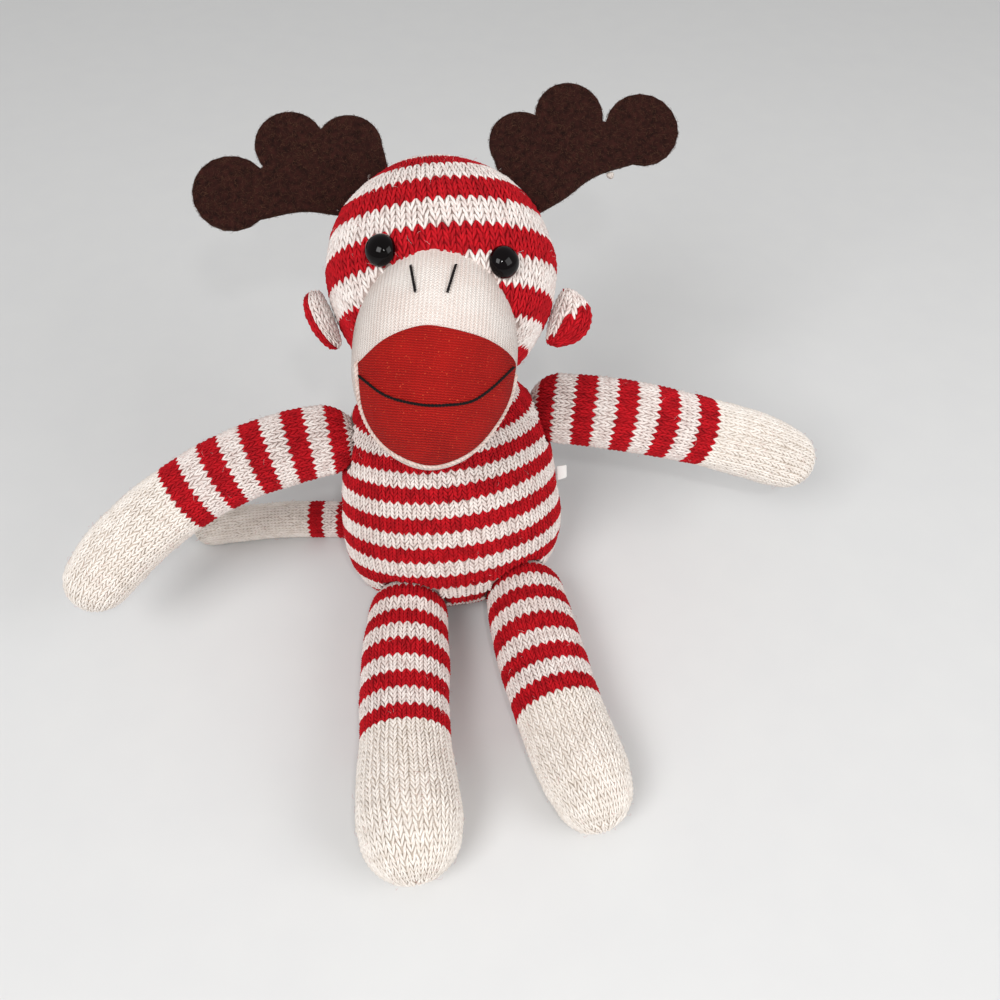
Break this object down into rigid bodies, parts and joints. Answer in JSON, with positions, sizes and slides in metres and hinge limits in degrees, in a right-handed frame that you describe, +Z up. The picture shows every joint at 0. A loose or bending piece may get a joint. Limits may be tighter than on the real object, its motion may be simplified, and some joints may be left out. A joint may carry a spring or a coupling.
{
  "type": "sock monkey doll",
  "caption": "Seated stuffed doll of striped knit with a domed muzzle, bead eyes, round ears, felt antlers, a tail and limbs that turn where they are sewn on.",
  "frame": {"origin": "middle of the flat that the torso sits on", "axes": "+Z up, the doll faces -Y and its own left is at +X"},
  "size_m": [0.2394, 0.1757, 0.151],
  "materials": {
    "striped_knit": "stocking-stitch knit in red and white bands",
    "white_knit": "stocking-stitch knit",
    "red_knit": "stocking-stitch knit",
    "cream_knit": "fine stocking-stitch knit",
    "mouth_knit": "fine knit with a slight sparkle",
    "fibre_fill": "loose polyester fibre",
    "black_thread": "stranded thread",
    "eye_plastic": "polished",
    "washer_plastic": "moulded",
    "brown_felt": "needled felt",
    "label_cloth": "woven tape"
  },
  "bodies": {
    "torso": {"torso_skin": "striped_knit", "torso_stuffing": "fibre_fill", "side_label": "label_cloth"},
    "neck": {"neck_stuffing": "fibre_fill"},
    "head": {"head_skin": "striped_knit", "head_stuffing": "fibre_fill", "muzzle_skin": "cream_knit", "muzzle_stuffing": "fibre_fill", "mouth_patch": "mouth_knit", "mouth_stitch": "black_thread", "left_nostril_stitch": "black_thread", "right_nostril_stitch": "black_thread", "left_eye": "eye_plastic", "left_eye_washer": "washer_plastic", "right_eye": "eye_plastic", "right_eye_washer": "washer_plastic"},
    "left_ear": {"left_ear_front": "white_knit", "left_ear_back": "red_knit"},
    "left_antler": {"left_antler": "brown_felt"},
    "right_ear": {"right_ear_front": "white_knit", "right_ear_back": "red_knit"},
    "right_antler": {"right_antler": "brown_felt"},
    "left_shoulder": {"left_shoulder_stuffing": "fibre_fill"},
    "left_arm": {"left_arm_sleeve": "striped_knit", "left_hand": "white_knit", "left_arm_stuffing": "fibre_fill"},
    "right_shoulder": {"right_shoulder_stuffing": "fibre_fill"},
    "right_arm": {"right_arm_sleeve": "striped_knit", "right_hand": "white_knit", "right_arm_stuffing": "fibre_fill"},
    "left_hip": {"left_hip_stuffing": "fibre_fill"},
    "left_leg": {"left_leg_sleeve": "striped_knit", "left_foot": "white_knit", "left_leg_stuffing": "fibre_fill"},
    "right_hip": {"right_hip_stuffing": "fibre_fill"},
    "right_leg": {"right_leg_sleeve": "striped_knit", "right_foot": "white_knit", "right_leg_stuffing": "fibre_fill"},
    "tail_root": {"tail_root_stuffing": "fibre_fill"},
    "tail": {"tail_sleeve": "striped_knit", "tail_tip": "white_knit", "tail_stuffing": "fibre_fill"}
  },
  "joints": [
    {"name": "neck_turn", "type": "hinge", "parent": "torso", "child": "neck", "pos_m": [-0.00271, 0.01393, 0.08112], "axis": [0.0689, -0.1564, 0.9853], "range_deg": [-45, 45], "stiffness_Nm_per_rad": 0.2},
    {"name": "neck_nod", "type": "hinge", "parent": "neck", "child": "head", "pos_m": [-0.00271, 0.01393, 0.08112], "axis": [1, 0, 0], "range_deg": [-20, 14], "stiffness_Nm_per_rad": 0.2},
    {"name": "left_ear_fold", "type": "hinge", "parent": "head", "child": "left_ear", "pos_m": [0.03177, 0.0004, 0.11276], "axis": [0.3058, 0.8091, 0.5018], "range_deg": [-25, 25], "stiffness_Nm_per_rad": 0.001},
    {"name": "left_antler_flex", "type": "hinge", "parent": "head", "child": "left_antler", "pos_m": [0.02507, 0.03115, 0.1337], "axis": [-0.5133, 0.6943, 0.5045], "range_deg": [-25, 25], "stiffness_Nm_per_rad": 0.02},
    {"name": "right_ear_fold", "type": "hinge", "parent": "head", "child": "right_ear", "pos_m": [-0.03069, -0.00456, 0.11535], "axis": [-0.3856, 0.7563, 0.5285], "range_deg": [-25, 6], "stiffness_Nm_per_rad": 0.001},
    {"name": "right_antler_flex", "type": "hinge", "parent": "head", "child": "right_antler", "pos_m": [-0.02103, 0.02709, 0.13528], "axis": [-0.052, 0.8323, 0.5519], "range_deg": [-25, 25], "stiffness_Nm_per_rad": 0.02},
    {"name": "left_shoulder_swing", "type": "hinge", "parent": "torso", "child": "left_shoulder", "pos_m": [0.03632, 0.01624, 0.06306], "axis": [0, 0, 1], "range_deg": [-26, 40], "stiffness_Nm_per_rad": 0.05},
    {"name": "left_shoulder_raise", "type": "hinge", "parent": "left_shoulder", "child": "left_arm", "pos_m": [0.03632, 0.01624, 0.06306], "axis": [0, -1, 0], "range_deg": [-20, 55], "stiffness_Nm_per_rad": 0.05},
    {"name": "right_shoulder_swing", "type": "hinge", "parent": "torso", "child": "right_shoulder", "pos_m": [-0.03975, 0.00145, 0.06306], "axis": [0, 0, 1], "range_deg": [-40, 40], "stiffness_Nm_per_rad": 0.05},
    {"name": "right_shoulder_raise", "type": "hinge", "parent": "right_shoulder", "child": "right_arm", "pos_m": [-0.03975, 0.00145, 0.06306], "axis": [0, 1, 0], "range_deg": [-20, 55], "stiffness_Nm_per_rad": 0.05},
    {"name": "left_hip_spread", "type": "hinge", "parent": "torso", "child": "left_hip", "pos_m": [0.02472, -0.02297, 0.01247], "axis": [0, 0, 1], "range_deg": [-10, 35], "stiffness_Nm_per_rad": 0.08},
    {"name": "left_hip_raise", "type": "hinge", "parent": "left_hip", "child": "left_leg", "pos_m": [0.02472, -0.02297, 0.01247], "axis": [-1, 0, 0], "range_deg": [-45, 20], "stiffness_Nm_per_rad": 0.08},
    {"name": "right_hip_spread", "type": "hinge", "parent": "torso", "child": "right_hip", "pos_m": [-0.01432, -0.03056, 0.01247], "axis": [0, 0, 1], "range_deg": [-35, 10], "stiffness_Nm_per_rad": 0.08},
    {"name": "right_hip_raise", "type": "hinge", "parent": "right_hip", "child": "right_leg", "pos_m": [-0.01432, -0.03056, 0.01247], "axis": [-1, 0, 0], "range_deg": [-45, 20], "stiffness_Nm_per_rad": 0.08},
    {"name": "tail_swing", "type": "hinge", "parent": "torso", "child": "tail_root", "pos_m": [-0.02019, 0.01413, 0.00584], "axis": [0, 0, 1], "range_deg": [-35, 12], "stiffness_Nm_per_rad": 0.02},
    {"name": "tail_raise", "type": "hinge", "parent": "tail_root", "child": "tail", "pos_m": [-0.02019, 0.01413, 0.00584], "axis": [0, 1, 0], "range_deg": [-15, 15], "stiffness_Nm_per_rad": 0.02}
  ]
}
